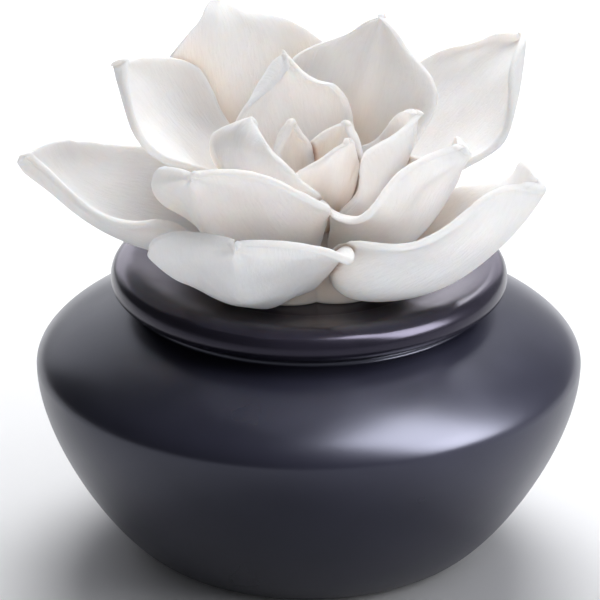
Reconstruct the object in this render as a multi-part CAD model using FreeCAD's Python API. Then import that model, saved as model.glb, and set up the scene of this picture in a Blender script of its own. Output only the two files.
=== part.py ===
import FreeCAD, Part
import os
from math import cos, pi, radians, sin

from FreeCAD import Vector

# Porcelain-flower fragrance diffuser, millimetres, +Z up.
# The origin is the centre of the pot's foot, on the surface that it stands on, and Z is the pot's axis.
# The flower opens towards +Z, and the front of the object faces -Y.

# ---- driving dimensions ----
BELLY_RADIUS = 55.0
BELLY_HEIGHT = 39.0
FOOT_RADIUS = 31.7
FOOT_ROUND = 1.0
SHOULDER_RADIUS = 36.0
SHOULDER_HEIGHT = 52.3
NECK_RADIUS = 35.4
POT_HEIGHT = 53.4
MOUTH_RADIUS = 30.4
WALL = 4.8
FLOOR = 5.0
LIP_BEVEL = 0.5

SEAL_FLANGE = 0.6
SEAL_SKIRT_IN = 28.8
SEAL_SKIRT_OUT = 30.0
SEAL_DEPTH = 4.6
SEAL_FIN = 0.2
RUNNING_GAP = 0.4

LID_BASE = POT_HEIGHT + SEAL_FLANGE
LID_RADIUS = 39.9
LID_THICKNESS = 6.8
WELL_RADIUS = 24.0
WELL_FLOOR = LID_BASE + 3.5
WELL_DEPTH = 1.0
PLUG_OUT = SEAL_SKIRT_IN - RUNNING_GAP
PLUG_WALL = 4.4
PLUG_DEPTH = 6.5
PLUG_CEILING = LID_BASE + 0.5
RIM_SEAT_RADIUS = 36.4
GROOVE_LOW = POT_HEIGHT - SEAL_DEPTH - 0.3
GROOVE_HEIGHT = 1.6
BEAD_REACH = 0.8

WICK_RADIUS = 3.0
WICK_BOTTOM = FLOOR + 3.5
WICK_TOP = WELL_FLOOR + 6.5
WICK_HOLE_RADIUS = 3.4
SOCKET_RADIUS = 3.05

HUB_RADIUS = 18.6
HUB_TOP = 70.5
HUB_WAIST_RADIUS = 15.0
HUB_WAIST_HEIGHT = 62.0

PETAL_ROOT_HALF = 1.15
PETAL_RIM_HALF = 0.85
PETAL_STATIONS = 11
SECTION_POINTS = 20
SHEET_STEPS = 16
EDGE_FULLNESS = 0.55
TIGHTEST_RADIUS = 1.7
TIP_HALF_WIDTH = 0.8
CURVE_STEPS = 120

os.makedirs("parts", exist_ok=True)


def point(radius, height):
    return Vector(radius, 0, height)


def line(a, b):
    return Part.LineSegment(a, b).toShape()


def bezier(*poles):
    curve = Part.BezierCurve()
    curve.setPoles(list(poles))
    return curve.toShape()


def revolve(edges):
    face = Part.Face(Part.Wire(edges))
    return face.revolve(Vector(0, 0, 0), Vector(0, 0, 1), 360)


def outline(points):
    """Straight edges through the points and back to the first."""
    return [line(a, b) for a, b in zip(points, points[1:] + points[:1])]


def ring(inner, outer, low, high):
    section = [point(inner, low), point(outer, low), point(outer, high), point(inner, high)]
    return revolve(outline(section))


def save(shape, name):
    if not shape.isValid() or not shape.Solids:
        raise ValueError(name + " is not a valid solid")
    shape.exportStep("parts/" + name + ".step")
    print(name, "solids", len(shape.Solids), "volume", round(shape.Volume, 1))


# ---- pot: a hollow squat jar with a soft crease where the shoulder meets the belly ----
def make_pot():
    axis_low = point(0, 0)
    foot_in = point(FOOT_RADIUS - FOOT_ROUND, 0)
    foot_out = point(FOOT_RADIUS + FOOT_ROUND, 0.6 * FOOT_ROUND)
    belly = point(BELLY_RADIUS, BELLY_HEIGHT)
    shoulder = point(SHOULDER_RADIUS, SHOULDER_HEIGHT)
    neck_low = point(NECK_RADIUS, SHOULDER_HEIGHT + 0.2)
    neck_high = point(NECK_RADIUS, POT_HEIGHT - LIP_BEVEL)
    lip_out = point(NECK_RADIUS - LIP_BEVEL, POT_HEIGHT)
    lip_in = point(MOUTH_RADIUS + LIP_BEVEL, POT_HEIGHT)
    mouth_high = point(MOUTH_RADIUS, POT_HEIGHT - LIP_BEVEL)
    mouth_low = point(MOUTH_RADIUS, SHOULDER_HEIGHT - WALL)
    inner_belly = point(BELLY_RADIUS - WALL, BELLY_HEIGHT)
    floor_out = point(FOOT_RADIUS - WALL, FLOOR)
    axis_high = point(0, FLOOR)
    edges = [
        line(axis_low, foot_in),
        bezier(foot_in, point(FOOT_RADIUS, 0), foot_out),
        bezier(foot_out, point(FOOT_RADIUS + 7.8, 2.4), point(BELLY_RADIUS, BELLY_HEIGHT - 14.0), belly),
        bezier(belly, point(BELLY_RADIUS, BELLY_HEIGHT + 4.6),
               point(SHOULDER_RADIUS + 9.3, SHOULDER_HEIGHT - 3.9), shoulder),
        line(shoulder, neck_low),
        line(neck_low, neck_high),
        line(neck_high, lip_out),
        line(lip_out, lip_in),
        line(lip_in, mouth_high),
        line(mouth_high, mouth_low),
        bezier(mouth_low, point(MOUTH_RADIUS + 9.6, SHOULDER_HEIGHT - WALL - 2.5),
               point(BELLY_RADIUS - WALL, BELLY_HEIGHT + 4.0), inner_belly),
        bezier(inner_belly, point(BELLY_RADIUS - WALL, BELLY_HEIGHT - 13.0),
               point(FOOT_RADIUS + 5.3, FLOOR), floor_out),
        line(floor_out, axis_high),
        line(axis_high, axis_low),
    ]
    return revolve(edges)


# ---- silicone seal: a flange that the lid rests on, a skirt with two fins and a retaining bead ----
def make_seal():
    flange = ring(SEAL_SKIRT_IN, NECK_RADIUS - LIP_BEVEL, POT_HEIGHT, LID_BASE)
    skirt_low = POT_HEIGHT - SEAL_DEPTH
    skirt = ring(SEAL_SKIRT_IN, SEAL_SKIRT_OUT, skirt_low, POT_HEIGHT)
    seal = flange.fuse(skirt)
    for fin_low in (skirt_low + 0.8, skirt_low + 2.6):
        seal = seal.fuse(ring(SEAL_SKIRT_OUT - 0.3, SEAL_SKIRT_OUT + SEAL_FIN, fin_low, fin_low + 0.5))
    bead = ring(SEAL_SKIRT_IN - BEAD_REACH, SEAL_SKIRT_IN + 0.3, skirt_low, skirt_low + 1.0)
    return seal.fuse(bead).removeSplitter()


# ---- lid: a dished plate with a rolled rim, a shallow well for the flower and a plug ring below ----
def make_lid():
    plug_in = PLUG_OUT - PLUG_WALL
    plug_low = LID_BASE - PLUG_DEPTH
    groove_in = SEAL_SKIRT_IN - BEAD_REACH - RUNNING_GAP
    groove_high = GROOVE_LOW + GROOVE_HEIGHT
    crest = point(LID_RADIUS - 2.9, LID_BASE + LID_THICKNESS)
    rim_low = point(LID_RADIUS - 0.2, LID_BASE + 2.2)
    rim_high = point(LID_RADIUS, LID_BASE + 4.0)
    well_edge = point(WELL_RADIUS + 0.4, WELL_FLOOR + WELL_DEPTH)
    well_out = point(WELL_RADIUS - 0.4, WELL_FLOOR)
    seat_out = point(RIM_SEAT_RADIUS, LID_BASE)
    edges = [
        line(point(WICK_HOLE_RADIUS, PLUG_CEILING), point(plug_in, PLUG_CEILING)),
        line(point(plug_in, PLUG_CEILING), point(plug_in, plug_low)),
        line(point(plug_in, plug_low), point(PLUG_OUT - 0.6, plug_low)),
        line(point(PLUG_OUT - 0.6, plug_low), point(PLUG_OUT, plug_low + 0.6)),
        line(point(PLUG_OUT, plug_low + 0.6), point(PLUG_OUT, GROOVE_LOW)),
        line(point(PLUG_OUT, GROOVE_LOW), point(groove_in, GROOVE_LOW)),
        line(point(groove_in, GROOVE_LOW), point(groove_in, groove_high)),
        line(point(groove_in, groove_high), point(PLUG_OUT, groove_high)),
        line(point(PLUG_OUT, groove_high), point(PLUG_OUT, LID_BASE)),
        line(point(PLUG_OUT, LID_BASE), seat_out),
        bezier(seat_out, point(LID_RADIUS - 1.3, LID_BASE + 0.5), rim_low),
        bezier(rim_low, point(LID_RADIUS + 0.2, LID_BASE + 3.0), rim_high),
        bezier(rim_high, point(LID_RADIUS - 0.4, LID_BASE + 6.4), crest),
        bezier(crest, point(LID_RADIUS - 5.3, LID_BASE + LID_THICKNESS + 0.4),
               point(WELL_RADIUS + 6.5, WELL_FLOOR + WELL_DEPTH + 0.6), well_edge),
        bezier(well_edge, point(WELL_RADIUS, WELL_FLOOR + 0.9), well_out),
        line(well_out, point(WICK_HOLE_RADIUS, WELL_FLOOR)),
        line(point(WICK_HOLE_RADIUS, WELL_FLOOR), point(WICK_HOLE_RADIUS, PLUG_CEILING)),
    ]
    return revolve(edges)


# ---- wick: a stiff rod of bonded fibre with a bevelled lower end ----
def make_wick():
    section = [
        point(0, WICK_BOTTOM),
        point(WICK_RADIUS - 0.8, WICK_BOTTOM),
        point(WICK_RADIUS, WICK_BOTTOM + 0.8),
        point(WICK_RADIUS, WICK_TOP),
        point(0, WICK_TOP),
    ]
    return revolve(outline(section))


# ---- flower base: the porcelain hub that carries the petals and holds the top of the wick ----
def make_flower_base():
    foot = point(HUB_RADIUS, WELL_FLOOR)
    waist = point(HUB_WAIST_RADIUS, HUB_WAIST_HEIGHT)
    top = point(0, HUB_TOP)
    socket_end = WICK_TOP + 0.5
    edges = [
        line(point(SOCKET_RADIUS, WELL_FLOOR), foot),
        bezier(foot, point(HUB_RADIUS - 0.4, WELL_FLOOR + 3.1), waist),
        bezier(waist, point(HUB_WAIST_RADIUS - 4.0, HUB_WAIST_HEIGHT + 2.6),
               point(HUB_WAIST_RADIUS - 5.5, HUB_TOP - 0.9), top),
        line(top, point(0, socket_end)),
        line(point(0, socket_end), point(SOCKET_RADIUS, socket_end)),
        line(point(SOCKET_RADIUS, socket_end), point(SOCKET_RADIUS, WELL_FLOOR)),
    ]
    return revolve(edges)


# ---- petals ----
# A petal is a cupped sheet grown along a midrib that leaves the hub at (reach, azimuth, height).
# Angles are degrees, lengths millimetres, and t runs from 0 at the root to 1 at the tip:
#   lean     the midrib's slope above horizontal at t = 0, 0.5 and 1, and tip_lean adds to it near the tip
#   bend     how far the midrib turns about Z, anticlockwise from above
#   width    full width at t = widest, root_width its share at the root, taper the bluntness of the tip
#   cup      how far the sheet turns from one margin to the other at t = 0, 0.5 and 1
#   roll     the sheet's turn about the midrib at the root, and twist what the tip adds to it
#   curl     outward curl of the left and the right margin, ruffle the height and phase of its waves
#   shift    sideways place of the root
PETAL_DEFAULTS = dict(
    bend=0, root_width=0.35, widest=0.6, taper=0.7, roll=0, twist=0, curl=(0, 0),
    tip_lean=0, ruffle=(0, 0), shift=0,
)

PETALS = {
    "petal_back_left": dict(
        azimuth=107, reach=14, height=59, length=56, lean=(18, 60, 70), tip_lean=-50, bend=10,
        width=43, root_width=0.25, widest=0.55, taper=1.0, cup=(70, 25, 35), roll=-8, twist=-2,
        curl=(20, 25), ruffle=(3.0, -0.05), shift=1),
    "petal_back_right": dict(
        azimuth=68, reach=11, height=61.5, length=46, lean=(46, 62, 68), bend=-16,
        width=35, root_width=0.25, widest=0.65, taper=0.8, cup=(90, 60, 50), twist=-6,
        curl=(-10, 30), ruffle=(-2.0, -0.1)),
    "petal_right": dict(
        azimuth=45, reach=13.5, height=59, length=57, lean=(36, 36, 52), tip_lean=-25, bend=-6,
        width=38, root_width=0.25, widest=0.65, cup=(85, 65, 70), roll=-4,
        curl=(-5, 10), ruffle=(-2.5, 0.1)),
    "petal_front_right": dict(
        azimuth=-44, reach=9, height=59.7, length=56, lean=(-11, 33, 61), tip_lean=0, bend=40,
        width=48, root_width=0.45, widest=0.22, taper=0.25, cup=(150, 170, 160), roll=3, twist=-16,
        curl=(60, 65), ruffle=(1.6, -0.6), shift=-2),
    "petal_front": dict(
        azimuth=-105, reach=15, height=59.5, length=46, lean=(2, 34, 54), tip_lean=5, bend=8,
        width=44, root_width=0.4, widest=0.65, cup=(65, 110, 95), roll=10, twist=-6,
        curl=(30, -15), ruffle=(-1.5, 0.1), shift=-3),
    "petal_left": dict(
        azimuth=177, reach=15.5, height=59, length=50, lean=(20, 26, 66), tip_lean=-10, bend=24,
        width=48, root_width=0.25, widest=0.5, taper=0.9, cup=(100, 120, 45), roll=-4, twist=8,
        curl=(40, -5), ruffle=(2.0, -0.3)),
    "petal_upper_left": dict(
        azimuth=151, reach=9.5, height=61.5, length=48, lean=(42, 42, 62), bend=20,
        width=37, root_width=0.3, widest=0.65, cup=(75, 75, 15), roll=16, twist=-24,
        curl=(-15, 10), ruffle=(2.5, -0.2), shift=-2),
    "petal_middle_left": dict(
        azimuth=-123, reach=10, height=63, length=48, lean=(26, 40, 76), tip_lean=-20, bend=4,
        width=40, root_width=0.3, widest=0.55, taper=0.6, cup=(125, 125, 85), roll=2, twist=16,
        curl=(60, -50), ruffle=(-0.5, 0.25), shift=2),
    "petal_middle_right": dict(
        azimuth=-38, reach=8.5, height=62.5, length=41, lean=(2, 52, 58), bend=22,
        width=41, root_width=0.35, widest=0.5, taper=0.5, cup=(155, 160, 80), roll=-16, twist=14,
        curl=(-15, 40), ruffle=(-3.0, 0.1)),
    "petal_curled_right": dict(
        azimuth=3, reach=4.5, height=64, length=33, lean=(48, 54, 90), tip_lean=5, bend=-2,
        width=30, root_width=0.3, widest=0.45, cup=(115, 125, 65), roll=8, twist=-20,
        curl=(25, -15), ruffle=(2.0, -0.1), shift=-0.5),
    "petal_inner_back": dict(
        azimuth=105, reach=5, height=61, length=41, lean=(62, 62, 88), tip_lean=45, bend=44,
        width=30, root_width=0.5, widest=0.5, cup=(120, 85, 80), roll=2, twist=-10,
        curl=(15, -30), ruffle=(2.0, -0.15), shift=-1.5),
    "petal_inner_left": dict(
        azimuth=216, reach=4.5, height=64.5, length=35, lean=(46, 62, 98), tip_lean=50, bend=2,
        width=30, root_width=0.45, widest=0.55, taper=0.8, cup=(115, 85, 65), roll=2, twist=4,
        curl=(10, 0), ruffle=(-1.0, 0.2), shift=1),
    "petal_bud_left": dict(
        azimuth=158, reach=3, height=66, length=24, lean=(72, 84, 102), tip_lean=25, bend=-4,
        width=14, root_width=0.25, widest=0.55, cup=(165, 105, 105), roll=-2, twist=-6,
        curl=(0, -15)),
    "petal_bud_front": dict(
        azimuth=-57, reach=4.5, height=66.5, length=25, lean=(60, 68, 94), tip_lean=-5, bend=6,
        width=18, root_width=0.25, widest=0.5, cup=(165, 150, 115), twist=2,
        curl=(-5, 10), ruffle=(1.0, 0.1)),
    "petal_bud_back": dict(
        azimuth=39, reach=4, height=64.5, length=24, lean=(62, 80, 94),
        width=19, root_width=0.25, widest=0.55, cup=(160, 110, 100), roll=6,
        curl=(5, 0), shift=-1.5),
}


def through(values, t):
    """Parabola through three values at t = 0, 0.5 and 1."""
    first, middle, last = values
    return first * (1 - t) * (1 - 2 * t) + 4 * middle * t * (1 - t) + last * t * (2 * t - 1)


def ease(x):
    x = min(max(x, 0.0), 1.0)
    return x * x * (3 - 2 * x)


def half_width(petal, t):
    widest = petal["widest"]
    if t < widest:
        share = petal["root_width"] + (1 - petal["root_width"]) * sin(pi / 2 * t / widest)
    else:
        share = max(cos(pi / 2 * (t - widest) / (1 - widest)), 0.0) ** petal["taper"]
    return share * petal["width"] / 2


def midrib(petal, stations):
    """Place, along, across and inward directions of the midrib at each station."""
    start = radians(petal["azimuth"])
    place = Vector(petal["reach"] * cos(start) - petal["shift"] * sin(start),
                   petal["reach"] * sin(start) + petal["shift"] * cos(start), petal["height"])
    frames = []
    step = 1.0 / CURVE_STEPS
    travelled = 0.0
    for t in stations:
        while travelled < t - 1e-9:
            advance = min(step, t - travelled)
            along = midrib_direction(petal, travelled + advance / 2)
            place = place + along * (advance * petal["length"])
            travelled += advance
        along = midrib_direction(petal, t)
        heading = start + radians(petal["bend"] * t)
        level = Vector(-sin(heading), cos(heading), 0)
        up = along.cross(level)
        roll = radians(petal["roll"] + petal["twist"] * t)
        across = level * cos(roll) + up * sin(roll)
        inward = up * cos(roll) - level * sin(roll)
        frames.append((Vector(place), across, inward))
    return frames


def midrib_direction(petal, t):
    lean = radians(through(petal["lean"], t) + petal["tip_lean"] * ease((t - 0.72) / 0.28))
    heading = radians(petal["azimuth"] + petal["bend"] * t)
    return Vector(cos(heading) * cos(lean), sin(heading) * cos(lean), sin(lean))


def sheet_point(petal, t, half, distance):
    """Place and inward normal, in the section, at a distance across the sheet from the midrib."""
    sign = 1 if distance >= 0 else -1
    cup = min(radians(through(petal["cup"], t)) / 2, half / TIGHTEST_RADIUS)
    curl = radians(petal["curl"][0 if sign > 0 else 1]) * ease((t - 0.15) / 0.5)
    curl_limit = half / TIGHTEST_RADIUS / 2
    curl = min(max(curl, -curl_limit), curl_limit)
    reach = min(abs(distance), half)
    step = reach / SHEET_STEPS
    x = 0.0
    y = 0.0
    turn = 0.0
    for k in range(SHEET_STEPS):
        u = (k + 0.5) * step / half
        turn = cup * u - curl * min(max((u - 0.45) / 0.55, 0), 1) ** 2
        x += step * cos(turn)
        y += step * sin(turn)
    x += (abs(distance) - reach) * cos(turn)
    y += (abs(distance) - reach) * sin(turn)
    wave, phase = petal["ruffle"]
    wave_place = 1.5 * t + phase + (0.25 if sign < 0 else 0)
    y += wave * (reach / half) ** 2 * sin(2 * pi * wave_place) * ease(t / 0.6)
    return (sign * x, y), (-sign * sin(turn), cos(turn))


def petal_section(petal, t, place, across, inward):
    """Closed loop round the sheet, from its left margin over the inner face and back outside."""
    half = half_width(petal, t)
    root_to_rim = PETAL_ROOT_HALF + (PETAL_RIM_HALF - PETAL_ROOT_HALF) * t
    loop = []
    for k in range(SECTION_POINTS):
        angle = 2 * pi * k / SECTION_POINTS
        distance = (half + PETAL_RIM_HALF) * cos(angle)
        (x, y), (normal_x, normal_y) = sheet_point(petal, t, half, distance)
        thick = root_to_rim + (PETAL_RIM_HALF - root_to_rim) * cos(angle) ** 2
        offset = thick * abs(sin(angle)) ** EDGE_FULLNESS
        if k > SECTION_POINTS / 2:
            offset = -offset
        loop.append(place + across * (x + normal_x * offset) + inward * (y + normal_y * offset))
    return loop


def petal_stations(petal):
    """Stations from the root to where the tip is only as wide as it is thick, closer near the tip."""
    end = 1.0
    while half_width(petal, end) < TIP_HALF_WIDTH:
        end -= 0.001
    return [end * (1 - (1 - k / PETAL_STATIONS) ** 1.4) for k in range(PETAL_STATIONS + 1)]


def make_petal(settings):
    petal = dict(PETAL_DEFAULTS)
    petal.update(settings)
    stations = petal_stations(petal)
    wires = []
    for t, frame in zip(stations, midrib(petal, stations)):
        loop = petal_section(petal, t, *frame)
        curve = Part.BSplineCurve()
        curve.interpolate(Points=loop + loop[:1], Parameters=[float(k) for k in range(len(loop) + 1)])
        wires.append(Part.Wire(curve.toShape()))
    return Part.makeLoft(wires, True, False)


def trimmed(shape, cutter):
    """The shape without what the cutter covers, as its largest solid."""
    if not shape.BoundBox.intersect(cutter.BoundBox):
        return shape
    rest = shape.cut(cutter)
    return max(rest.Solids, key=lambda solid: solid.Volume)


save(make_pot(), "pot")
save(make_seal(), "lid_seal")
save(make_lid(), "lid")
save(make_wick(), "wick")
flower_base = make_flower_base()
save(flower_base, "flower_base")

# The bud petals are set first and each outer petal is pressed against those already there.
made = [flower_base]
for name in reversed(list(PETALS)):
    petal_solid = make_petal(PETALS[name])
    for earlier in made:
        petal_solid = trimmed(petal_solid, earlier)
    made.append(petal_solid)
    save(petal_solid, name)
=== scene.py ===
from math import cos, pi, radians, sin

import bpy
import numpy as np
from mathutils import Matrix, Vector
from mathutils.kdtree import KDTree


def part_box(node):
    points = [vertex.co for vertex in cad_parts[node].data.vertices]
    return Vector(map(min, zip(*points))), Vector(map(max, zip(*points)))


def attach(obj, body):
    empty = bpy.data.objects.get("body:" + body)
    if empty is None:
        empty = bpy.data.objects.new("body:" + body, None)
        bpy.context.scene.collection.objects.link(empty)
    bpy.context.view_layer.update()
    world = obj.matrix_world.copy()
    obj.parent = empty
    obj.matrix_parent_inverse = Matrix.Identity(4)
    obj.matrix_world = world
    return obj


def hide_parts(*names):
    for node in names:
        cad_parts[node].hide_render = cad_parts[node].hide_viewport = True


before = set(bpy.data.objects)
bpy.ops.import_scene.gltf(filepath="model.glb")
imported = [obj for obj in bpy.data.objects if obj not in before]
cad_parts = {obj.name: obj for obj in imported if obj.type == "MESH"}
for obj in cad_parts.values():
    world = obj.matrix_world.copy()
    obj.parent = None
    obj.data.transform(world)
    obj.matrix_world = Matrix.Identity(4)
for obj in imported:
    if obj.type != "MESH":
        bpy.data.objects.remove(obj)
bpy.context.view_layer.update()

MM = 0.001
TURN_STEPS = 224

# ---------------------------------------------------------------- sizes from the frame, in millimetres
def corners(name):
    """Low and high corner of a CAD node's box."""
    return [[v / MM for v in corner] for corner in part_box(name)]


pot_high = corners("pot")[1]
lid_low, lid_high = corners("lid")
hub_low, hub_high = corners("flower_base")
wick_low, wick_high = corners("wick")

BELLY_RADIUS = pot_high[0]
BELLY_HEIGHT = 39.0
POT_HEIGHT = pot_high[2]
FOOT_RADIUS = 31.7
NECK_RADIUS = 35.4
MOUTH_RADIUS = 30.4
WALL = 4.8
FLOOR = 5.0
FOOT_RECESS = 1.2

LID_TOP = lid_high[2]
LID_RADIUS = lid_high[0]
LID_BASE = POT_HEIGHT + 0.6
WELL_RADIUS = 24.0
WELL_FLOOR = hub_low[2]
PLUG_OUT = 28.4
PLUG_IN = 24.0
PLUG_LOW = lid_low[2]
WICK_HOLE = 3.4

HUB_RADIUS = hub_high[0]
HUB_TOP = hub_high[2]
WICK_RADIUS = wick_high[0]

# ---------------------------------------------------------------- camera
CAMERA_ELEVATION = radians(23.2)
CAMERA_DISTANCE = 0.900
CAMERA_LENS = 268.0
AIM = Vector((-0.0018, 0.0, 0.0514))


def make_camera():
    data = bpy.data.cameras.new("camera")
    data.lens = CAMERA_LENS
    data.sensor_width = 36.0
    data.clip_start = 0.05
    data.clip_end = 20.0
    camera = bpy.data.objects.new("camera", data)
    bpy.context.scene.collection.objects.link(camera)
    away = Vector((0, -cos(CAMERA_ELEVATION), sin(CAMERA_ELEVATION)))
    camera.location = AIM + away * CAMERA_DISTANCE
    camera.rotation_euler = (-away).to_track_quat("-Z", "Y").to_euler()
    bpy.context.scene.camera = camera


# ---------------------------------------------------------------- node helpers
def new_material(name):
    material = bpy.data.materials.new(name)
    material.use_nodes = True
    tree = material.node_tree
    shader = tree.nodes["Principled BSDF"]
    return material, tree, shader


def node(tree, kind, **settings):
    made = tree.nodes.new(kind)
    for key, value in settings.items():
        if key in made.inputs:
            made.inputs[key].default_value = value
        else:
            setattr(made, key, value)
    return made


def noise(tree, vector, scale, detail=4.0, roughness=0.5, distortion=0.0):
    made = node(tree, "ShaderNodeTexNoise")
    made.inputs["Scale"].default_value = scale
    made.inputs["Detail"].default_value = detail
    made.inputs["Roughness"].default_value = roughness
    made.inputs["Distortion"].default_value = distortion
    tree.links.new(vector, made.inputs["Vector"])
    return made.outputs["Fac"]


def ranged(tree, value, low, high, to_low, to_high):
    made = node(tree, "ShaderNodeMapRange")
    made.inputs["From Min"].default_value = low
    made.inputs["From Max"].default_value = high
    made.inputs["To Min"].default_value = to_low
    made.inputs["To Max"].default_value = to_high
    tree.links.new(value, made.inputs["Value"])
    return made.outputs["Result"]


def mixed(tree, share, first, second, blend="MIX"):
    """Colour mix; first and second are sockets or colours."""
    made = node(tree, "ShaderNodeMix", data_type="RGBA", blend_type=blend)
    sockets = [s for s in made.inputs if s.type == "RGBA"]
    factor = made.inputs["Factor"]
    for socket, value in ((sockets[0], first), (sockets[1], second)):
        if isinstance(value, bpy.types.NodeSocket):
            tree.links.new(value, socket)
        else:
            socket.default_value = (*value, 1.0)
    if isinstance(share, bpy.types.NodeSocket):
        tree.links.new(share, factor)
    else:
        factor.default_value = share
    return [s for s in made.outputs if s.type == "RGBA"][0]


def math(tree, operation, first, second=0.0):
    made = node(tree, "ShaderNodeMath", operation=operation)
    for socket, value in zip(made.inputs, (first, second)):
        if isinstance(value, bpy.types.NodeSocket):
            tree.links.new(value, socket)
        else:
            socket.default_value = value
    return made.outputs["Value"]


def bump(tree, shader, height, strength, distance, below=None):
    made = node(tree, "ShaderNodeBump")
    made.inputs["Strength"].default_value = strength
    made.inputs["Distance"].default_value = distance
    tree.links.new(height, made.inputs["Height"])
    if below is not None:
        tree.links.new(below, made.inputs["Normal"])
    tree.links.new(made.outputs["Normal"], shader.inputs["Normal"])
    return made.outputs["Normal"]


def object_space(tree):
    return node(tree, "ShaderNodeTexCoord").outputs["Object"]


def attribute(tree, name, output="Fac"):
    return node(tree, "ShaderNodeAttribute", attribute_name=name).outputs[output]


# ---------------------------------------------------------------- materials
def pot_glaze():
    material, tree, shader = new_material("satin_black_glaze")
    place = object_space(tree)
    cloud = noise(tree, place, 45.0, 3.0)
    grain = noise(tree, place, 900.0, 1.0)
    colour = mixed(tree, ranged(tree, cloud, 0.35, 0.65, 0, 1), (0.007, 0.007, 0.013), (0.010, 0.010, 0.018))
    tree.links.new(colour, shader.inputs["Base Color"])
    tree.links.new(ranged(tree, cloud, 0.3, 0.7, 0.27, 0.33), shader.inputs["Roughness"])
    shader.inputs["IOR"].default_value = 1.5
    shader.inputs["Specular IOR Level"].default_value = 0.8
    shader.inputs["Specular Tint"].default_value = (0.78, 0.80, 1.0, 1.0)
    bump(tree, shader, grain, 0.06, 0.00008)
    return material


def lid_glaze():
    material, tree, shader = new_material("gloss_black_glaze")
    place = object_space(tree)
    cloud = noise(tree, place, 60.0, 3.0)
    wave = noise(tree, place, 260.0, 2.0)
    colour = mixed(tree, ranged(tree, cloud, 0.35, 0.65, 0, 1), (0.005, 0.0045, 0.008), (0.008, 0.007, 0.012))
    tree.links.new(colour, shader.inputs["Base Color"])
    tree.links.new(ranged(tree, cloud, 0.3, 0.7, 0.20, 0.27), shader.inputs["Roughness"])
    shader.inputs["IOR"].default_value = 1.5
    shader.inputs["Specular IOR Level"].default_value = 0.5
    shader.inputs["Specular Tint"].default_value = (0.80, 0.75, 1.0, 1.0)
    bump(tree, shader, wave, 0.10, 0.0002)
    return material


def bare_clay():
    material, tree, shader = new_material("unglazed_dark_clay")
    place = object_space(tree)
    grit = noise(tree, place, 1500.0, 4.0, 0.7)
    colour = mixed(tree, ranged(tree, grit, 0.35, 0.65, 0, 1), (0.055, 0.050, 0.048), (0.11, 0.10, 0.095))
    tree.links.new(colour, shader.inputs["Base Color"])
    shader.inputs["Roughness"].default_value = 0.85
    bump(tree, shader, grit, 0.35, 0.00015)
    return material


def bisque_porcelain():
    """Unglazed porcelain with brushed ridges, inner faces a warmer white than outer ones; painted warm glow
    deep in the flower and painted contact shade where petals touch.
    """
    material, tree, shader = new_material("bisque_porcelain")
    place = object_space(tree)
    sheet = attribute(tree, "sheet", "Vector")
    inner = attribute(tree, "inner")
    depth = attribute(tree, "depth")
    rim = attribute(tree, "rim")
    painted_shade = attribute(tree, "painted_shade")
    stretch = node(tree, "ShaderNodeMapping")
    stretch.inputs["Scale"].default_value = (1.0, 0.16, 1.0)
    tree.links.new(sheet, stretch.inputs["Vector"])
    ridges = noise(tree, stretch.outputs["Vector"], 2.1, 5.0, 0.62, 0.4)
    wide = noise(tree, stretch.outputs["Vector"], 0.55, 2.0, 0.5, 0.2)
    grain = noise(tree, place, 3400.0, 3.0, 0.65)
    pits = noise(tree, place, 1300.0, 2.0, 0.5)
    cloud = noise(tree, place, 120.0, 3.0)
    cool = mixed(tree, ranged(tree, cloud, 0.35, 0.65, 0, 1), (0.88, 0.875, 0.88), (0.92, 0.915, 0.915))
    warm = mixed(tree, ranged(tree, cloud, 0.35, 0.65, 0, 1), (0.89, 0.870, 0.862), (0.925, 0.905, 0.897))
    colour = mixed(tree, inner, cool, warm)
    # Painted warm glow: peach tint where the depth attribute is high, deep in the flower and near other
    # petals
    colour = mixed(tree, ranged(tree, depth, 0.0, 1.0, 0.0, 0.7), colour, (0.93, 0.80, 0.71))
    colour = mixed(tree, ranged(tree, rim, 0.0, 1.0, 0.0, 0.6), colour, (0.93, 0.92, 0.915))
    # Painted contact shade: dark brown along lines where petals touch, light brown over the hub
    colour = mixed(tree, painted_shade, colour, (0.34, 0.20, 0.12))
    groove = ranged(tree, ridges, 0.30, 0.55, 0.97, 1.0)
    colour = mixed(tree, 1.0, colour, shade_of(tree, groove), "MULTIPLY")
    tree.links.new(colour, shader.inputs["Base Color"])
    tree.links.new(ranged(tree, pits, 0.3, 0.7, 0.72, 0.90), shader.inputs["Roughness"])
    shader.inputs["Specular IOR Level"].default_value = 0.35
    shader.inputs["Subsurface Weight"].default_value = 0.75
    shader.inputs["Subsurface Radius"].default_value = (1.0, 0.80, 0.65)
    shader.inputs["Subsurface Scale"].default_value = 0.0038
    shader.inputs["Sheen Weight"].default_value = 0.05
    coarse = bump(tree, shader, math(tree, "ADD", ridges, math(tree, "MULTIPLY", wide, 0.8)), 0.34, 0.00045)
    dents = ranged(tree, pits, 0.62, 0.74, 1.0, 0.0)
    middle = bump(tree, shader, dents, 0.18, 0.00015, coarse)
    bump(tree, shader, grain, 0.20, 0.00008, middle)
    return material


def shade_of(tree, value):
    made = node(tree, "ShaderNodeCombineColor")
    for name in ("Red", "Green", "Blue"):
        tree.links.new(value, made.inputs[name])
    return made.outputs["Color"]


def silicone():
    material, tree, shader = new_material("milky_silicone")
    place = object_space(tree)
    cloud = noise(tree, place, 300.0, 2.0)
    colour = mixed(tree, ranged(tree, cloud, 0.3, 0.7, 0, 1), (0.68, 0.68, 0.66), (0.76, 0.76, 0.745))
    tree.links.new(colour, shader.inputs["Base Color"])
    tree.links.new(ranged(tree, cloud, 0.3, 0.7, 0.42, 0.52), shader.inputs["Roughness"])
    shader.inputs["Subsurface Weight"].default_value = 0.3
    shader.inputs["Subsurface Scale"].default_value = 0.001
    bump(tree, shader, noise(tree, place, 1800.0, 2.0), 0.15, 0.00005)
    return material


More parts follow.
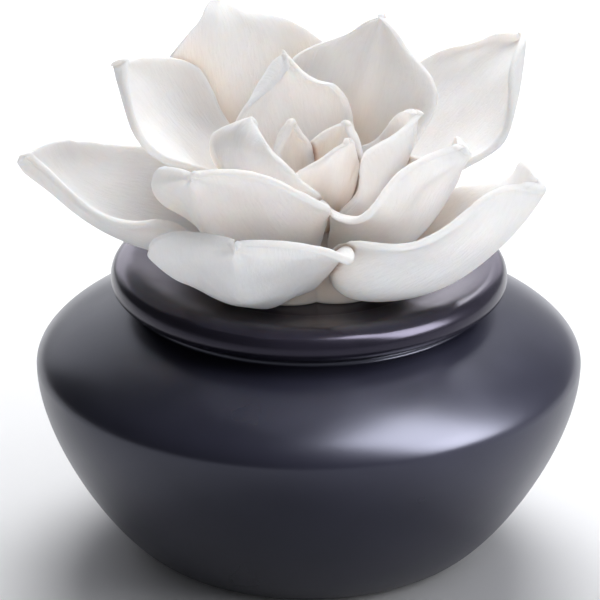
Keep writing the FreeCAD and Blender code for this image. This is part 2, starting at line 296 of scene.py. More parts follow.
def wick_fibre():
    material, tree, shader = new_material("bonded_fibre")
    place = object_space(tree)
    stretch = node(tree, "ShaderNodeMapping")
    stretch.inputs["Scale"].default_value = (1.0, 1.0, 0.05)
    tree.links.new(place, stretch.inputs["Vector"])
    strands = noise(tree, stretch.outputs["Vector"], 3200.0, 4.0, 0.65)
    damp = ranged(tree, node_height(tree, place), wick_low[2] * MM, (wick_low[2] + 22.0) * MM, 1.0, 0.0)
    dry = mixed(tree, ranged(tree, strands, 0.35, 0.65, 0, 1), (0.60, 0.55, 0.46), (0.80, 0.77, 0.69))
    colour = mixed(tree, math(tree, "MULTIPLY", damp, 0.6), dry, (0.50, 0.38, 0.22))
    tree.links.new(colour, shader.inputs["Base Color"])
    shader.inputs["Roughness"].default_value = 0.9
    shader.inputs["Sheen Weight"].default_value = 0.25
    bump(tree, shader, strands, 0.6, 0.0003)
    return material


def node_height(tree, place):
    made = node(tree, "ShaderNodeSeparateXYZ")
    tree.links.new(place, made.inputs["Vector"])
    return made.outputs["Z"]


def floor_paper():
    material, tree, shader = new_material("pale_floor")
    place = object_space(tree)
    cloud = noise(tree, place, 4.0, 2.0)
    colour = mixed(tree, ranged(tree, cloud, 0.3, 0.7, 0, 1), (0.86, 0.865, 0.88), (0.89, 0.895, 0.91))
    tree.links.new(colour, shader.inputs["Base Color"])
    shader.inputs["Roughness"].default_value = 0.8
    return material


# ---------------------------------------------------------------- turned pieces
EDGE_HOLD = 0.12


def straight(a, b):
    """A straight run with points close to both ends, so that shading keeps its corners crisp."""
    a = np.array(a, float)
    b = np.array(b, float)
    length = np.linalg.norm(b - a)
    hold = min(EDGE_HOLD / length, 0.25)
    count = max(int(length / 2.5), 1)
    shares = [0.0, hold] + [hold + (1 - 2 * hold) * k / count for k in range(1, count + 1)] + [1.0]
    return [a + (b - a) * s for s in shares]


def curved(poles, count=24):
    """Bezier run through two, three or four poles."""
    points = []
    for k in range(count + 1):
        s = k / count
        level = [np.array(p, float) for p in poles]
        while len(level) > 1:
            level = [p + (q - p) * s for p, q in zip(level, level[1:])]
        points.append(level[0])
    return points


def joined_runs(*runs):
    profile = []
    for run in runs:
        for p in run:
            if not profile or np.linalg.norm(p - profile[-1]) > 1e-6:
                profile.append(p)
    if np.linalg.norm(profile[0] - profile[-1]) < 1e-6:
        profile.pop()
    return profile


def lathe(name, profile, material, closed, wobble=None):
    """Mesh turned about Z from (radius, height) points; radius 0 becomes one vertex."""
    points = []
    rings = []
    for radius, height in profile:
        if radius < 1e-6:
            rings.append([len(points)])
            points.append((0.0, 0.0, height))
            continue
        first = len(points)
        for k in range(TURN_STEPS):
            angle = 2 * pi * k / TURN_STEPS
            r, h = (radius, height) if wobble is None else wobble(radius, height, angle)
            points.append((r * cos(angle), r * sin(angle), h))
        rings.append(list(range(first, first + TURN_STEPS)))
    faces = []
    pairs = list(zip(rings, rings[1:] + rings[:1])) if closed else list(zip(rings, rings[1:]))
    for low, high in pairs:
        for k in range(TURN_STEPS):
            n = (k + 1) % TURN_STEPS
            if len(low) == 1 and len(high) == 1:
                break
            if len(low) == 1:
                faces.append((low[0], high[n], high[k]))
            elif len(high) == 1:
                faces.append((low[k], low[n], high[0]))
            else:
                faces.append((low[k], low[n], high[n], high[k]))
    return make_mesh(name, points, faces, material)


def make_mesh(name, points, faces, *materials):
    """Mesh from millimetre points."""
    mesh = bpy.data.meshes.new(name)
    mesh.from_pydata([(x * MM, y * MM, z * MM) for x, y, z in points], [], faces)
    mesh.validate()
    mesh.shade_smooth()
    for material in materials:
        mesh.materials.append(material)
    made = bpy.data.objects.new(name, mesh)
    bpy.context.scene.collection.objects.link(made)
    return made


def thrown(radius, height, angle):
    """Slight unevenness of a hand-finished pot, in radius only."""
    uneven = 0.10 * sin(2 * angle + 0.7) + 0.05 * sin(3 * angle + 2.1 + height * 0.05)
    return radius * (1 + uneven / BELLY_RADIUS * min(radius / 20.0, 1.0) * 0.6), height


def make_pot(glaze, clay):
    belly = (BELLY_RADIUS, BELLY_HEIGHT)
    foot_out = (FOOT_RADIUS + 1.0, 0.6)
    recess_out = (FOOT_RADIUS - 5.0, 0.0)
    recess_in = (FOOT_RADIUS - 6.4, FOOT_RECESS)
    shoulder = (36.0, 52.3)
    inner_belly = (BELLY_RADIUS - WALL, BELLY_HEIGHT)
    profile = joined_runs(
        curved([(0, FOOT_RECESS + 0.2), (14, FOOT_RECESS + 0.2), recess_in], 10),
        curved([recess_in, (FOOT_RADIUS - 5.6, 0.1), recess_out], 6),
        straight(recess_out, (FOOT_RADIUS - 1.0, 0)),
        curved([(FOOT_RADIUS - 1.0, 0), (FOOT_RADIUS, 0), foot_out], 8),
        curved([foot_out, (FOOT_RADIUS + 7.8, 2.4), (BELLY_RADIUS, BELLY_HEIGHT - 14.0), belly], 48),
        curved([belly, (BELLY_RADIUS, BELLY_HEIGHT + 4.6), (45.3, 48.4), shoulder], 48),
        curved([shoulder, (NECK_RADIUS, 52.4), (NECK_RADIUS, 52.9)], 6),
        curved([(NECK_RADIUS, 52.9), (NECK_RADIUS, POT_HEIGHT), (NECK_RADIUS - 0.5, POT_HEIGHT)], 6),
        straight((NECK_RADIUS - 0.5, POT_HEIGHT), (MOUTH_RADIUS + 0.5, POT_HEIGHT)),
        curved([(MOUTH_RADIUS + 0.5, POT_HEIGHT), (MOUTH_RADIUS, POT_HEIGHT), (MOUTH_RADIUS, 52.9)], 6),
        straight((MOUTH_RADIUS, 52.9), (MOUTH_RADIUS, 47.5)),
        curved([(MOUTH_RADIUS, 47.5), (40.0, 45.0), (BELLY_RADIUS - WALL, 43.0), inner_belly], 30),
        curved([inner_belly, (BELLY_RADIUS - WALL, 26.0), (37.0, FLOOR), (26.9, FLOOR)], 40),
        curved([(26.9, FLOOR), (12, FLOOR), (0, FLOOR)], 12),
    )
    pot = lathe("pot_glazed", profile, glaze, False, thrown)
    pot.data.materials.append(clay)
    for face in pot.data.polygons:
        low = min(pot.data.vertices[v].co.z for v in face.vertices) / MM
        reach = max(pot.data.vertices[v].co.xy.length for v in face.vertices) / MM
        if low < 0.35 and reach < FOOT_RADIUS + 1.0 or low < FOOT_RECESS + 0.3 and reach < FOOT_RADIUS - 4.0:
            face.material_index = 1
    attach(pot, "pot")
    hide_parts("pot")
    return pot


def make_lid(glaze):
    ceiling = LID_BASE + 0.5
    groove_low = POT_HEIGHT - 4.9
    groove_in = 27.6
    rim_low = (LID_RADIUS - 0.25, LID_BASE + 2.2)
    rim_high = (LID_RADIUS - 0.05, LID_BASE + 4.0)
    crest = (LID_RADIUS - 2.9, LID_TOP)
    well_edge = (WELL_RADIUS + 0.5, WELL_FLOOR + 1.0)
    well_low = (WELL_RADIUS - 0.6, WELL_FLOOR)
    profile = joined_runs(
        straight((WICK_HOLE, WELL_FLOOR - 0.4), (WICK_HOLE, ceiling)),
        straight((WICK_HOLE, ceiling), (PLUG_IN - 0.8, ceiling)),
        curved([(PLUG_IN - 0.8, ceiling), (PLUG_IN, ceiling), (PLUG_IN, ceiling - 0.8)], 5),
        straight((PLUG_IN, ceiling - 0.8), (PLUG_IN, PLUG_LOW + 0.6)),
        curved([(PLUG_IN, PLUG_LOW + 0.6), (PLUG_IN, PLUG_LOW), (PLUG_IN + 0.6, PLUG_LOW)], 5),
        straight((PLUG_IN + 0.6, PLUG_LOW), (PLUG_OUT - 0.7, PLUG_LOW)),
        curved([(PLUG_OUT - 0.7, PLUG_LOW), (PLUG_OUT, PLUG_LOW), (PLUG_OUT, PLUG_LOW + 0.7)], 5),
        straight((PLUG_OUT, PLUG_LOW + 0.7), (PLUG_OUT, groove_low)),
        straight((PLUG_OUT, groove_low), (groove_in, groove_low)),
        straight((groove_in, groove_low), (groove_in, groove_low + 1.6)),
        straight((groove_in, groove_low + 1.6), (PLUG_OUT, groove_low + 1.6)),
        straight((PLUG_OUT, groove_low + 1.6), (PLUG_OUT, LID_BASE)),
        straight((PLUG_OUT, LID_BASE), (36.4, LID_BASE)),
        curved([(36.4, LID_BASE), (38.6, LID_BASE + 0.5), rim_low], 14),
        curved([rim_low, (LID_RADIUS + 0.1, LID_BASE + 3.0), rim_high], 8),
        curved([rim_high, (LID_RADIUS - 0.4, LID_BASE + 6.4), crest], 20),
        curved([crest, (34.6, 61.2), (30.5, 59.1), well_edge], 28),
        curved([well_edge, (WELL_RADIUS, WELL_FLOOR + 0.95), (WELL_RADIUS - 0.1, WELL_FLOOR + 0.5)], 6),
        curved([(WELL_RADIUS - 0.1, WELL_FLOOR + 0.5), (WELL_RADIUS - 0.2, WELL_FLOOR), well_low], 6),
        straight(well_low, (WICK_HOLE + 0.5, WELL_FLOOR)),
        curved([(WICK_HOLE + 0.5, WELL_FLOOR), (WICK_HOLE, WELL_FLOOR), (WICK_HOLE, WELL_FLOOR - 0.4)], 4),
    )
    lid = lathe("lid_dish", profile, glaze, True, lid_wobble)
    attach(lid, "lid")
    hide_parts("lid")
    return lid


def lid_wobble(radius, height, angle):
    """The dish is slightly out of true above its seat; the plug stays round."""
    above_seat = min(max((height - LID_BASE - 0.6) / 3.0, 0.0), 1.0)
    outside_well = min(max((radius - WELL_RADIUS) / 6.0, 0.0), 1.0)
    share = above_seat * outside_well
    oval = 1 - 0.002 * share * (1 + sin(2 * angle + 1.0))
    sag = 0.10 * share * (1 + sin(angle + 2.4))
    return radius * oval, height - sag


def make_wick(material):
    """Round rod of bonded fibre with fine lengthwise flutes and a bevelled lower end."""
    flutes = 36
    low = wick_low[2]
    high = wick_high[2]

    def fluted(radius, height, angle):
        return radius * (1 - 0.018 * (1 + sin(flutes * angle + 3.0 * sin(height * 0.15)))), height

    profile = joined_runs(
        curved([(0, low), (1.0, low), (WICK_RADIUS - 0.8, low)], 4),
        curved([(WICK_RADIUS - 0.8, low), (WICK_RADIUS - 0.1, low + 0.1), (WICK_RADIUS, low + 0.8)], 6),
        [np.array((WICK_RADIUS, low + 0.8 + (high - low - 1.2) * k / 40)) for k in range(1, 41)],
        curved([(WICK_RADIUS, high - 0.4), (WICK_RADIUS, high), (WICK_RADIUS - 0.4, high)], 5),
        curved([(WICK_RADIUS - 0.4, high), (1.0, high), (0, high)], 4),
    )
    wick = lathe("wick_rod", profile, material, False, fluted)
    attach(wick, "lid")
    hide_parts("wick")


# ---------------------------------------------------------------- flower
# A petal is a cupped sheet grown along a midrib that leaves the hub at (reach, azimuth, height).
# Angles are degrees, lengths millimetres, and t runs from 0 at the root to 1 at the tip:
#   lean     the midrib's slope above horizontal at t = 0, 0.5 and 1, and tip_lean adds to it near the tip
#   bend     how far the midrib turns about Z, anticlockwise from above
#   width    full width at t = widest, root_width its share at the root, taper the bluntness of the tip
#   cup      how far the sheet turns from one margin to the other at t = 0, 0.5 and 1
#   roll     the sheet's turn about the midrib at the root, and twist what the tip adds to it
#   curl     outward curl of the left and the right margin, ruffle the height and phase of its waves
#   shift    sideways place of the root
#   dents    local pushes (t, u, spread in t, spread in u, height towards the inside); u is -1 to 1 across
#   lobes    ears of a margin (side, t, spread in t, extra share of the width, extra outward curl);
#            side is 1 for the left margin and -1 for the right one
PETAL_DEFAULTS = dict(
    bend=0, root_width=0.35, widest=0.6, taper=0.7, roll=0, twist=0, curl=(0, 0),
    tip_lean=0, ruffle=(0, 0), shift=0, dents=(), lobes=(),
)

PETALS = {
    "petal_back_left": dict(
        azimuth=107, reach=14, height=59, length=56, lean=(18, 60, 70), tip_lean=-50, bend=10,
        width=43, root_width=0.25, widest=0.55, taper=1.0, cup=(70, 25, 35), roll=-8, twist=-2,
        curl=(20, 25), ruffle=(3.0, -0.05), shift=1,
        lobes=((1, 0.9, 0.05, -0.2, 0), (-1, 0.89, 0.06, -0.2, 0))),
    "petal_back_right": dict(
        azimuth=68, reach=11, height=61.5, length=46, lean=(46, 62, 68), bend=-16,
        width=35, root_width=0.25, widest=0.65, taper=0.8, cup=(90, 60, 50), twist=-6,
        curl=(-10, 30), ruffle=(-2.0, -0.1),
        lobes=((1, 0.9, 0.07, -0.22, 0), (-1, 0.9, 0.07, -0.22, 0)), dents=((0.75, 0.0, 0.25, 0.12, 0.8),)),
    "petal_right": dict(
        azimuth=45, reach=13.5, height=59, length=57, lean=(36, 36, 52), tip_lean=-25, bend=-6,
        width=38, root_width=0.25, widest=0.65, cup=(85, 65, 70), roll=-4,
        curl=(-5, 10), ruffle=(-2.5, 0.1),
        lobes=((1, 0.92, 0.06, -0.2, 0), (-1, 0.8, 0.2, 0.08, -70))),
    "petal_front_right": dict(
        azimuth=-44, reach=9, height=59.7, length=56, lean=(-11, 33, 61), tip_lean=0, bend=40,
        width=48, root_width=0.45, widest=0.22, taper=0.25, cup=(150, 170, 160), roll=3, twist=-16,
        curl=(60, 65), ruffle=(1.6, -0.6), shift=-2,
        lobes=((-1, 0.0, 0.17, -0.7, 0), (1, 0.95, 0.05, 0.2, 0))),
    "petal_front": dict(
        azimuth=-105, reach=15, height=59.5, length=46, lean=(2, 34, 54), tip_lean=5, bend=8,
        width=44, root_width=0.4, widest=0.65, cup=(65, 110, 95), roll=10, twist=-6,
        curl=(30, -15), ruffle=(-1.5, 0.1), shift=-3,
        lobes=((1, 0.66, 0.16, -0.03, 45), (-1, 0.7, 0.2, -0.07, 30)),
        dents=((0.75, -0.02, 0.3, 0.10, -0.9), (0.62, -0.42, 0.22, 0.22, 1.9), (0.6, 0.42, 0.2, 0.25, 1.4))),
    "petal_left": dict(
        azimuth=177, reach=15.5, height=59, length=50, lean=(20, 26, 66), tip_lean=-10, bend=24,
        width=48, root_width=0.25, widest=0.5, taper=0.9, cup=(100, 120, 45), roll=-4, twist=8,
        curl=(40, -5), ruffle=(2.0, -0.3)),
    "petal_upper_left": dict(
        azimuth=151, reach=9.5, height=61.5, length=48, lean=(42, 42, 62), bend=20,
        width=37, root_width=0.3, widest=0.65, cup=(75, 75, 15), roll=16, twist=-24,
        curl=(-15, 10), ruffle=(2.5, -0.2), shift=-2),
    "petal_middle_left": dict(
        azimuth=-123, reach=10, height=63, length=48, lean=(26, 40, 76), tip_lean=-20, bend=4,
        width=40, root_width=0.3, widest=0.55, taper=0.6, cup=(125, 125, 85), roll=2, twist=16,
        curl=(60, -50), ruffle=(-0.5, 0.25), shift=2,
        lobes=((-1, 0.55, 0.2, -0.04, 60),),
        dents=((0.65, -0.5, 0.22, 0.22, 2.8), (0.7, -0.12, 0.3, 0.10, -1.1), (0.65, 0.3, 0.25, 0.2, 1.0))),
    "petal_middle_right": dict(
        azimuth=-38, reach=8.5, height=62.5, length=41, lean=(2, 52, 58), bend=22,
        width=41, root_width=0.35, widest=0.5, taper=0.5, cup=(155, 160, 80), roll=-16, twist=14,
        curl=(-15, 40), ruffle=(-3.0, 0.1),
        lobes=((-1, 0.55, 0.2, 0.06, 30),), dents=((0.78, -0.3, 0.14, 0.25, 2.4),)),
    "petal_curled_right": dict(
        azimuth=3, reach=4.5, height=64, length=33, lean=(48, 54, 90), tip_lean=5, bend=-2,
        width=30, root_width=0.3, widest=0.45, cup=(115, 125, 65), roll=8, twist=-20,
        curl=(25, -15), ruffle=(2.0, -0.1), shift=-0.5),
    "petal_inner_back": dict(
        azimuth=105, reach=5, height=61, length=41, lean=(62, 62, 88), tip_lean=45, bend=44,
        width=30, root_width=0.5, widest=0.5, cup=(120, 85, 80), roll=2, twist=-10,
        curl=(15, -30), ruffle=(2.0, -0.15), shift=-1.5),
    "petal_inner_left": dict(
        azimuth=216, reach=4.5, height=64.5, length=35, lean=(46, 62, 98), tip_lean=50, bend=2,
        width=30, root_width=0.45, widest=0.55, taper=0.8, cup=(115, 85, 65), roll=2, twist=4,
        curl=(10, 0), ruffle=(-1.0, 0.2), shift=1),
    "petal_bud_left": dict(
        azimuth=158, reach=3, height=66, length=24, lean=(72, 84, 102), tip_lean=25, bend=-4,
        width=14, root_width=0.25, widest=0.55, cup=(165, 105, 105), roll=-2, twist=-6,
        curl=(0, -15)),
    "petal_bud_front": dict(
        azimuth=-57, reach=4.5, height=66.5, length=25, lean=(60, 68, 94), tip_lean=-5, bend=6,
        width=18, root_width=0.25, widest=0.5, cup=(165, 150, 115), twist=2,
        curl=(-5, 10), ruffle=(1.0, 0.1)),
    "petal_bud_back": dict(
        azimuth=39, reach=4, height=64.5, length=24, lean=(62, 80, 94),
        width=19, root_width=0.25, widest=0.55, cup=(160, 110, 100), roll=6,
        curl=(5, 0), shift=-1.5),
}

PETAL_ROOT_HALF = 1.15
PETAL_RIM_HALF = 0.85
TIGHTEST_RADIUS = 1.7
STATIONS = 84
SHEET_POINTS = 57
MARGIN_POINTS = 7
TIP_HALF_WIDTH = 0.4
TIP_RINGS = 4
FINE_STEPS = 400


def through(values, t):
    """Parabola through three values at t = 0, 0.5 and 1."""
    first, middle, last = values
    return first * (1 - t) * (1 - 2 * t) + 4 * middle * t * (1 - t) + last * t * (2 * t - 1)


def ease(x):
    x = np.clip(x, 0.0, 1.0)
    return x * x * (3 - 2 * x)


def half_width(petal, t):
    widest = petal["widest"]
    growing = petal["root_width"] + (1 - petal["root_width"]) * np.sin(pi / 2 * np.clip(t / widest, 0, 1))
    closing = np.cos(pi / 2 * np.clip((t - widest) / (1 - widest), 0, 1)).clip(0) ** petal["taper"]
    return np.where(t < widest, growing, closing) * petal["width"] / 2


def midrib(petal, stations):
    """Place, along, across and inward directions of the midrib at each station, as arrays."""
    fine = np.linspace(0, 1, FINE_STEPS + 1)
    lean = np.radians(through(petal["lean"], fine) + petal["tip_lean"] * ease((fine - 0.72) / 0.28))
    heading = np.radians(petal["azimuth"] + petal["bend"] * fine)
    along = np.stack([np.cos(heading) * np.cos(lean), np.sin(heading) * np.cos(lean), np.sin(lean)], -1)
    steps = (along[1:] + along[:-1]) / 2 * petal["length"] / FINE_STEPS
    start = radians(petal["azimuth"])
    root = np.array([petal["reach"] * cos(start) - petal["shift"] * sin(start),
                     petal["reach"] * sin(start) + petal["shift"] * cos(start), petal["height"]])
    track = root + np.vstack([np.zeros(3), np.cumsum(steps, 0)])
    place = np.stack([np.interp(stations, fine, track[:, k]) for k in range(3)], -1)
    along = np.stack([np.interp(stations, fine, along[:, k]) for k in range(3)], -1)
    heading = np.interp(stations, fine, heading)
    level = np.stack([-np.sin(heading), np.cos(heading), 0 * heading], -1)
    up = np.cross(along, level)
    roll = np.radians(petal["roll"] + petal["twist"] * stations)[:, None]
    return place, along, level * np.cos(roll) + up * np.sin(roll), up * np.cos(roll) - level * np.sin(roll)


def unevenness(seed, t, u):
    """Gentle hand-made waves over the sheet, in millimetres."""
    draw = np.random.RandomState(seed)
    total = np.zeros(np.broadcast(t, u).shape)
    for k in range(7):
        turns_along = draw.uniform(0.6, 3.2)
        turns_across = draw.uniform(-1.6, 1.6)
        phase = draw.uniform(0, 2 * pi)
        total = total + 0.10 * np.sin(2 * pi * (turns_along * t + turns_across * u) + phase)
    return total


def sheet_grid(petal, stations, seed):
    """Middle surface of the sheet with its across and inward directions; first index t, second u."""
    place, along, across, inward = midrib(petal, stations)
    half = half_width(petal, stations)
    draw = np.random.RandomState(seed + 500)
    u = np.sin(pi / 2 * np.linspace(1, -1, SHEET_POINTS))
    fine = np.linspace(0, 1, 61)
    x = np.zeros((len(stations), SHEET_POINTS))
    y = np.zeros_like(x)
    turn = np.zeros_like(x)
    for sign, curl_value in ((1, petal["curl"][0]), (-1, petal["curl"][1])):
        cup = np.minimum(np.radians(through(petal["cup"], stations)) / 2, half / TIGHTEST_RADIUS)
        limit = half / TIGHTEST_RADIUS / 2
        curl = radians(curl_value) * ease((stations - 0.15) / 0.5)
        side_half = half
        for side, lobe_t, spread, extra, turned in petal["lobes"]:
            if side == sign:
                bell = np.exp(-((stations - lobe_t) / spread) ** 2)
                side_half = side_half * (1 + extra * bell)
                curl = curl + radians(turned) * bell
        curl = np.clip(curl, -2.4 * limit, 2.4 * limit)
        bending = cup[:, None] * fine - curl[:, None] * np.clip((fine - 0.45) / 0.55, 0, 1) ** 2
        step = side_half[:, None] / (len(fine) - 1)
        reach_x = np.zeros_like(bending)
        reach_y = np.zeros_like(bending)
        reach_x[:, 1:] = np.cumsum((np.cos(bending[:, 1:]) + np.cos(bending[:, :-1])) / 2 * step, 1)
        reach_y[:, 1:] = np.cumsum((np.sin(bending[:, 1:]) + np.sin(bending[:, :-1])) / 2 * step, 1)
        wave, phase = petal["ruffle"]
        turns = 1.5 * stations + phase + (0.25 if sign < 0 else 0)
        reach_y += (wave * np.sin(2 * pi * turns) * ease(stations / 0.6))[:, None] * fine ** 2
        margin_phase = draw.uniform(0, 2 * pi, 3)
        margin = 1 + 0.010 * np.sin(2 * pi * 2.3 * stations + margin_phase[0])
        margin += 0.006 * np.sin(2 * pi * 6.1 * stations + margin_phase[1])
        margin += 0.003 * np.sin(2 * pi * 14.7 * stations + margin_phase[2])
        chosen = np.where(u * sign >= 0)[0]
        for j in chosen:
            share = np.clip(abs(u[j]) * margin, 0, 1.03)
            for i in range(len(stations)):
                x[i, j] = sign * np.interp(share[i], fine, reach_x[i])
                y[i, j] = np.interp(share[i], fine, reach_y[i])
                turn[i, j] = sign * np.interp(share[i], fine, bending[i])
    t_grid = stations[:, None]
    u_grid = u[None, :]
    fade = ease((half / 6.0))[:, None] * ease(t_grid / 0.2)
    push = unevenness(seed, t_grid, u_grid) * fade
    for dent_t, dent_u, spread_t, spread_u, depth in petal["dents"]:
        along_t = ((t_grid - dent_t) / spread_t) ** 2
        across_u = ((u_grid - dent_u) / spread_u) ** 2
        push = push + depth * np.exp(-along_t - across_u)
    tangent = (np.cos(turn)[..., None] * across[:, None] + np.sin(turn)[..., None] * inward[:, None])
    normal = (-np.sin(turn)[..., None] * across[:, None] + np.cos(turn)[..., None] * inward[:, None])
    middle = place[:, None] + x[..., None] * across[:, None] + y[..., None] * inward[:, None]
    middle = middle + push[..., None] * normal
    return middle, tangent, normal, u, half, along


def make_petal(name, settings, seed, material):
    petal = dict(PETAL_DEFAULTS)
    petal.update(settings)
    end = 1.0
    while half_width(petal, np.array(end)) < TIP_HALF_WIDTH:
        end -= 0.0005
    stations = end * (1 - (1 - np.linspace(0, 1, STATIONS)) ** 1.5)
    middle, tangent, normal, u, half, along = sheet_grid(petal, stations, seed)
    thick = PETAL_ROOT_HALF + (PETAL_RIM_HALF - PETAL_ROOT_HALF) * stations[:, None]
    thick = thick + (PETAL_RIM_HALF - thick) * u[None, :] ** 2
    draw = np.random.RandomState(seed + 900)
    rough = 0.035 * np.sin(2 * pi * (9 * stations[:, None] + 0.8 * u[None]) + draw.uniform(0, 6))
    rough = rough + 0.02 * np.sin(2 * pi * (23 * stations[:, None] - 1.7 * u[None]) + draw.uniform(0, 6))
    thick = (thick + rough * u[None, :] ** 4)[..., None]
    inner = middle + normal * thick
    outer = middle - normal * thick
    arc = np.linspace(0, pi, MARGIN_POINTS + 2)[1:-1]
    columns = [inner[:, j] for j in range(SHEET_POINTS)]
    facing = [1.0] * SHEET_POINTS
    across_u = list(u)
    for angle in arc:
        edge = -tangent[:, -1] * sin(angle) + normal[:, -1] * cos(angle)
        columns.append(middle[:, -1] + edge * thick[:, -1])
        facing.append((1 + cos(angle)) / 2)
        across_u.append(-1.0)
    columns += [outer[:, j] for j in reversed(range(SHEET_POINTS))]
    facing += [0.0] * SHEET_POINTS
    across_u += list(u[::-1])
    for angle in arc:
        edge = tangent[:, 0] * sin(angle) - normal[:, 0] * cos(angle)
        columns.append(middle[:, 0] + edge * thick[:, 0])
        facing.append((1 - cos(angle)) / 2)
        across_u.append(1.0)
    loops = np.stack(columns, 1)
    count = loops.shape[1]
    tip = middle[-1].mean(0)
    rings = [loops]
    for k in range(1, TIP_RINGS + 1):
        angle = pi / 2 * k / (TIP_RINGS + 1)
        ring = tip + (loops[-1] - tip) * cos(angle) + along[-1] * PETAL_RIM_HALF * sin(angle)
        rings.append(ring[None])
    grid = np.concatenate(rings, 0)
    rows = grid.shape[0]
    points = [tuple(p) for p in grid.reshape(-1, 3)]
    points.append(tuple(middle[0].mean(0)))
    points.append(tuple(tip + along[-1] * PETAL_RIM_HALF))
    root_point = len(points) - 2
    tip_point = len(points) - 1
    faces = []
    for i in range(rows - 1):
        for j in range(count):
            n = (j + 1) % count
            faces.append((i * count + j, i * count + n, (i + 1) * count + n, (i + 1) * count + j))
    last = (rows - 1) * count
    for j in range(count):
        n = (j + 1) % count
        faces.append((root_point, n, j))
        faces.append((tip_point, last + j, last + n))
    made = make_mesh(name + "_porcelain", points, faces, material)
    t_rows = np.concatenate([stations, [end] * TIP_RINGS])
    half_rows = np.concatenate([half, [half[-1]] * TIP_RINGS])
    add_petal_attributes(made, petal, t_rows, half_rows, np.array(across_u), np.array(facing), grid, seed)
    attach(made, "lid")
    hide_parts(name)
    return made


def add_petal_attributes(made, petal, t_rows, half_rows, across_u, facing, grid, seed):
    """Values that the porcelain material reads: place on the sheet, inner side, depth (strength of the
    painted warm glow) and rim.
    """
    across = across_u[None, :] * half_rows[:, None]
    length = t_rows[:, None] * petal["length"] + 0 * across
    side = facing[None, :] * 3.0 + seed * 11.0 + 0 * across
    sheet = np.stack([across, length, side], -1).reshape(-1, 3)
    from_margin = (1 - np.abs(across_u))[None, :] * half_rows[:, None]
    from_tip = (t_rows[-1] - t_rows)[:, None] * petal["length"]
    rim = np.exp(-(np.minimum(from_margin, from_tip) / 1.1) ** 2)
    # depth sets the painted warm glow: strongest near the flower's centre and on inner faces
    centre = np.array([0.0, 0.0, HUB_TOP - 3.0])
    away = np.linalg.norm((grid - centre) * np.array([1, 1, 0.8]), axis=-1)
    depth = ease(1.15 - away / 22.0) * (0.35 + 0.65 * facing[None, :])
    inner = facing[None, :] + 0 * across
    add_attribute(made, "sheet", np.vstack([sheet, sheet[:1], sheet[-1:]]), "FLOAT_VECTOR")
    for name, values in (("rim", rim), ("depth", depth), ("inner", inner), ("painted_shade", 0 * inner)):
        flat = values.reshape(-1)
        add_attribute(made, name, np.concatenate([flat, flat[:1], flat[-1:]]), "FLOAT")


def paint_contact_shade_and_glow(petals):
    """Painted warm glow, and a painted fine line of contact shade, where one petal lies against another."""
    search_room = 2.5
    shade_reach = 0.55
    glow_reach = 5.0
    clouds = {}
    for made in petals:
        flat = np.zeros(len(made.data.vertices) * 3)
        made.data.vertices.foreach_get("co", flat)
        clouds[made] = flat.reshape(-1, 3) / MM
    for made in petals:
        own = clouds[made]
        low = own.min(0) - search_room
        high = own.max(0) + search_room
        others = np.vstack([clouds[other] for other in petals if other is not made])
        others = others[((others > low) & (others < high)).all(1)]
        tree = KDTree(len(others))
        for k, place in enumerate(others):
            tree.insert(place, k)
        tree.balance()
        away = np.array([tree.find(place)[2] for place in own])
        # Painted contact shade in a fine line close to other petals, and a wider painted warm glow
        painted_shade = np.exp(-(away / shade_reach) ** 2)
        glow = np.exp(-(away / glow_reach) ** 2)
        depth = made.data.attributes["depth"]
        held = np.zeros(len(own))
        depth.data.foreach_get("value", held)
        depth.data.foreach_set("value", np.maximum(held, 0.85 * glow))
        made.data.attributes["painted_shade"].data.foreach_set("value", 0.75 * painted_shade)


def add_attribute(made, name, values, kind):
    layer = made.data.attributes.new(name, kind, "POINT")
    key = "vector" if kind == "FLOAT_VECTOR" else "value"
    layer.data.foreach_set(key, np.asarray(values, np.float32).ravel())


def make_hub(material):
    """Porcelain hub pinched from clay: low lobes round it where the petals' feet were pressed on."""
    lobes = 5

    def pinched(radius, height, angle):
        share = ease((HUB_TOP - height) / 10.0)
        valley = abs(sin(lobes * angle / 2 + 0.55)) ** 0.7
        return radius * (1 - 0.16 * share * (1 - valley)), height

    top = (0, HUB_TOP)
    foot = (HUB_RADIUS, WELL_FLOOR)
    socket = 3.05
    profile = joined_runs(
        straight((socket, WELL_FLOOR), (HUB_RADIUS - 0.6, WELL_FLOOR)),
        curved([(HUB_RADIUS - 0.6, WELL_FLOOR), foot, (HUB_RADIUS - 0.1, WELL_FLOOR + 0.7)], 5),
        curved([(HUB_RADIUS - 0.1, WELL_FLOOR + 0.7), (17.6, 60.4), (14.6, 62.0)], 16),
        curved([(14.6, 62.0), (11.0, 64.6), (9.5, 69.6), top], 24),
    )
    made = lathe("hub_porcelain", profile, material, False, pinched)
    count = len(made.data.vertices)
    # Painted shade and painted warm glow over the whole hub, which sits in shadow under the petals
    add_attribute(made, "depth", np.ones(count), "FLOAT")
    add_attribute(made, "painted_shade", np.full(count, 0.22), "FLOAT")
    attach(made, "lid")
    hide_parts("flower_base")
    return made


make_camera()
GLAZE = pot_glaze()
LID_GLAZE = lid_glaze()
CLAY = bare_clay()
PORCELAIN = bisque_porcelain()
glazed = (make_pot(GLAZE, CLAY), make_lid(LID_GLAZE))
make_wick(wick_fibre())
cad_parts["lid_seal"].data.materials.clear()
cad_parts["lid_seal"].data.materials.append(silicone())
hub = make_hub(PORCELAIN)
petal_meshes = [make_petal(name, PETALS[name], seed, PORCELAIN) for seed, name in enumerate(PETALS)]
paint_contact_shade_and_glow(petal_meshes)


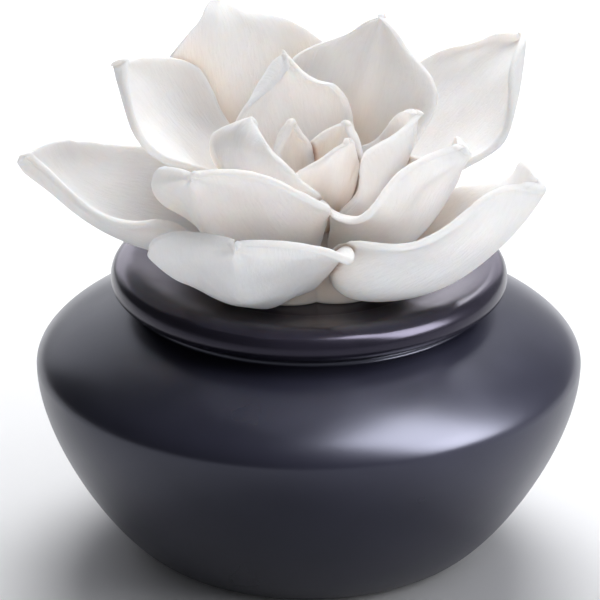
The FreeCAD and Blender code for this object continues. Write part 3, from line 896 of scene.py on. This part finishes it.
# ---------------------------------------------------------------- floor and light
def make_floor(material):
    """Pale floor that curves up into a backdrop."""
    width = 3000.0
    front = -900.0
    back = 1100.0
    bend = 500.0
    rise = 1600.0
    profile = [(front + (back - front) * k / 8, 0.0) for k in range(9)]
    for k in range(1, 13):
        angle = pi / 2 * k / 12
        profile.append((back + bend * sin(angle), bend * (1 - cos(angle))))
    profile.append((back + bend, rise))
    points = []
    for y, z in profile:
        for k in range(7):
            points.append((-width / 2 + width * k / 6, y, z))
    faces = []
    for i in range(len(profile) - 1):
        for k in range(6):
            a = i * 7 + k
            faces.append((a, a + 1, a + 8, a + 7))
    floor = make_mesh("floor", points, faces, material)


def area_light(name, place, aim, size, power, colour=(1, 1, 1), size_y=None):
    data = bpy.data.lights.new(name, "AREA")
    data.energy = power
    data.color = colour
    data.size = size
    if size_y:
        data.shape = "RECTANGLE"
        data.size_y = size_y
    lamp = bpy.data.objects.new(name, data)
    bpy.context.scene.collection.objects.link(lamp)
    lamp.location = place
    lamp.rotation_euler = (Vector(aim) - Vector(place)).to_track_quat("-Z", "Y").to_euler()
    return lamp


def make_world():
    """Soft room light, dimmer on the left side."""
    world = bpy.data.worlds.new("studio")
    world.use_nodes = True
    tree = world.node_tree
    background = tree.nodes["Background"]
    background.inputs["Color"].default_value = (0.95, 0.96, 1.0, 1.0)
    parts = node(tree, "ShaderNodeSeparateXYZ")
    tree.links.new(node(tree, "ShaderNodeTexCoord").outputs["Generated"], parts.inputs["Vector"])
    tree.links.new(ranged(tree, parts.outputs["X"], -0.9, 0.9, 0.08, 0.34), background.inputs["Strength"])
    bpy.context.scene.world = world


def studio_light(name, azimuth, elevation, distance, size, power, colour=(1, 1, 1), size_y=None):
    """Soft box that faces the flower: azimuth 0 is the camera's side and 90 the right."""
    turn = radians(azimuth)
    rise = radians(elevation)
    aim = Vector((0.0, 0.0, 0.06))
    place = aim + distance * Vector((sin(turn) * cos(rise), -cos(turn) * cos(rise), sin(rise)))
    return area_light(name, place, aim, size, power, colour, size_y)


def light_only(lamp, *made):
    """Keeps a lamp's light to the given objects, and the lamp itself out of the camera's sight."""
    lit = bpy.data.collections.new(lamp.name + "_lit")
    for thing in made:
        lit.objects.link(thing)
    lamp.light_linking.receiver_collection = lit
    lamp.visible_camera = False


SHADED_PETALS = ("petal_middle_right", "petal_front_right", "petal_curled_right")

make_floor(floor_paper())
make_world()
studio_light("key_right", 62.0, 27.0, 0.9, 0.50, 1.9)
studio_light("sheen_right", 35.0, 55.0, 1.0, 0.8, 0.4)
studio_light("rim_back_left", -156.0, 24.0, 1.0, 0.7, 1.0, (0.95, 0.96, 1.0))
glaze_key = studio_light("glaze_key", 68.0, 44.0, 0.9, 0.55, 24.0, size_y=1.1)
light_only(glaze_key, *glazed)
for side in (-1, 1):
    dish_glow = studio_light("dish_glow", side * 163.0, 20.0, 1.0, 0.6, 1.4, (0.93, 0.86, 1.0))
    light_only(dish_glow, glazed[1])
flower_fill = studio_light("flower_fill", -14.0, 6.0, 1.0, 0.6, 3.7)
light_only(flower_fill, hub, *petal_meshes)
fold_fill = studio_light("fold_fill", -48.0, 5.0, 1.0, 0.6, 4.4)
light_only(fold_fill, *[made for name, made in zip(PETALS, petal_meshes) if name in SHADED_PETALS])
backdrop_light = area_light("backdrop", (0.08, 0.75, 0.8), (0.05, 0.40, 0.0), 0.7, 4.4)
backdrop_light.data.spread = radians(90.0)
area_light("wall", (0.0, 0.7, 1.1), (0.0, 1.6, 0.6), 1.2, 8.0)
bpy.context.scene.view_settings.view_transform = "Standard"

bpy.context.view_layer.update()
